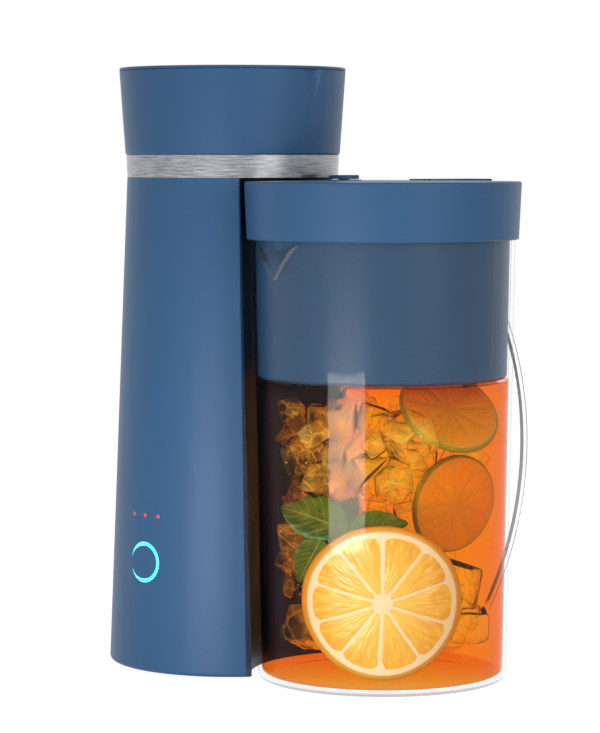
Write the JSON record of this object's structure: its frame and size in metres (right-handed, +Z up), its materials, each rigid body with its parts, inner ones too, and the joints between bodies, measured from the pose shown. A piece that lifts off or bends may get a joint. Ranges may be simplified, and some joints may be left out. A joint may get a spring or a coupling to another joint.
{
  "type": "iced tea maker",
  "caption": "Iced tea maker: a tapered brewing tower with a hinged tank lid and power button, and a clear lidded pitcher docked in its side.",
  "frame": {"origin": "centre of the bounding box's footprint on the table", "axes": "+X from the tower to the pitcher, -Y the front with the button, +Z up"},
  "size_m": [0.2344, 0.1668, 0.32],
  "materials": {
    "blue_shell": "satin",
    "black_base": "matte",
    "screw_steel": "satin",
    "foot_rubber": "matte",
    "brushed_band": "brushed",
    "tank_plastic": "satin",
    "hose_silicone": "satin",
    "boiler_alloy": "cast",
    "rod_steel": "satin",
    "dark_ceramic": "matte",
    "fuse_metal": "satin",
    "board_green": "gloss",
    "white_plastic": "satin",
    "ring_light": "gloss",
    "lamp_red": "gloss",
    "clear_plastic": "clear",
    "basket_plastic": "satin",
    "filter_mesh": "satin"
  },
  "bodies": {
    "tower": {"housing": "blue_shell", "base_cover": "black_base", "base_screws": "screw_steel", "rubber_feet": "foot_rubber", "trim_band": "brushed_band", "tank_collar": "blue_shell", "lid_hinge_pin": "screw_steel", "brew_deck": "blue_shell", "outlet_nozzle": "black_base", "water_tank": "tank_plastic", "check_valve": "black_base", "inlet_hose": "hose_silicone", "boiler": "boiler_alloy", "heating_rod": "rod_steel", "boiler_brackets": "screw_steel", "bracket_screws": "screw_steel", "thermostat": "dark_ceramic", "thermal_fuse": "fuse_metal", "riser_tube": "hose_silicone", "control_board": "board_green", "board_screws": "screw_steel", "button_switch": "black_base", "light_ring": "ring_light", "indicator_lenses": "lamp_red", "cord_gland": "foot_rubber"},
    "tank_lid": {"tank_lid": "blue_shell"},
    "button": {"power_button": "blue_shell", "switch_plunger": "white_plastic"},
    "pitcher": {"pitcher": "clear_plastic", "pitcher_handle": "clear_plastic", "brew_basket": "basket_plastic", "basket_filter": "filter_mesh"},
    "pitcher_lid": {"pitcher_lid": "blue_shell", "shower_plate": "basket_plastic"},
    "knob": {"strength_knob": "blue_shell", "strength_shutter": "white_plastic"}
  },
  "joints": [
    {"name": "tank_lid_hinge", "type": "hinge", "parent": "tower", "child": "tank_lid", "pos_m": [-0.11247, 0.00219, 0.3165], "axis": [-0.1994, -0.9799, 0], "range_deg": [0, 110]},
    {"name": "power_button_press", "type": "slide", "parent": "tower", "child": "button", "axis": [0.2077, 0.9774, -0.0395], "range_m": [0, 0.0014], "stiffness_N_per_m": 600},
    {"name": "pitcher_slide", "type": "slide", "parent": "tower", "child": "pitcher", "axis": [1, 0, 0], "range_m": [0, 0.16]},
    {"name": "lid_turn", "type": "hinge", "parent": "pitcher", "child": "pitcher_lid", "pos_m": [0.04485, -0.01049, 0.245], "axis": [0, 0, 1], "range_deg": [0, 60]},
    {"name": "strength_turn", "type": "hinge", "parent": "pitcher_lid", "child": "knob", "pos_m": [0.02085, -0.01049, 0.262], "axis": [0, 0, 1], "range_deg": [0, 90]}
  ]
}
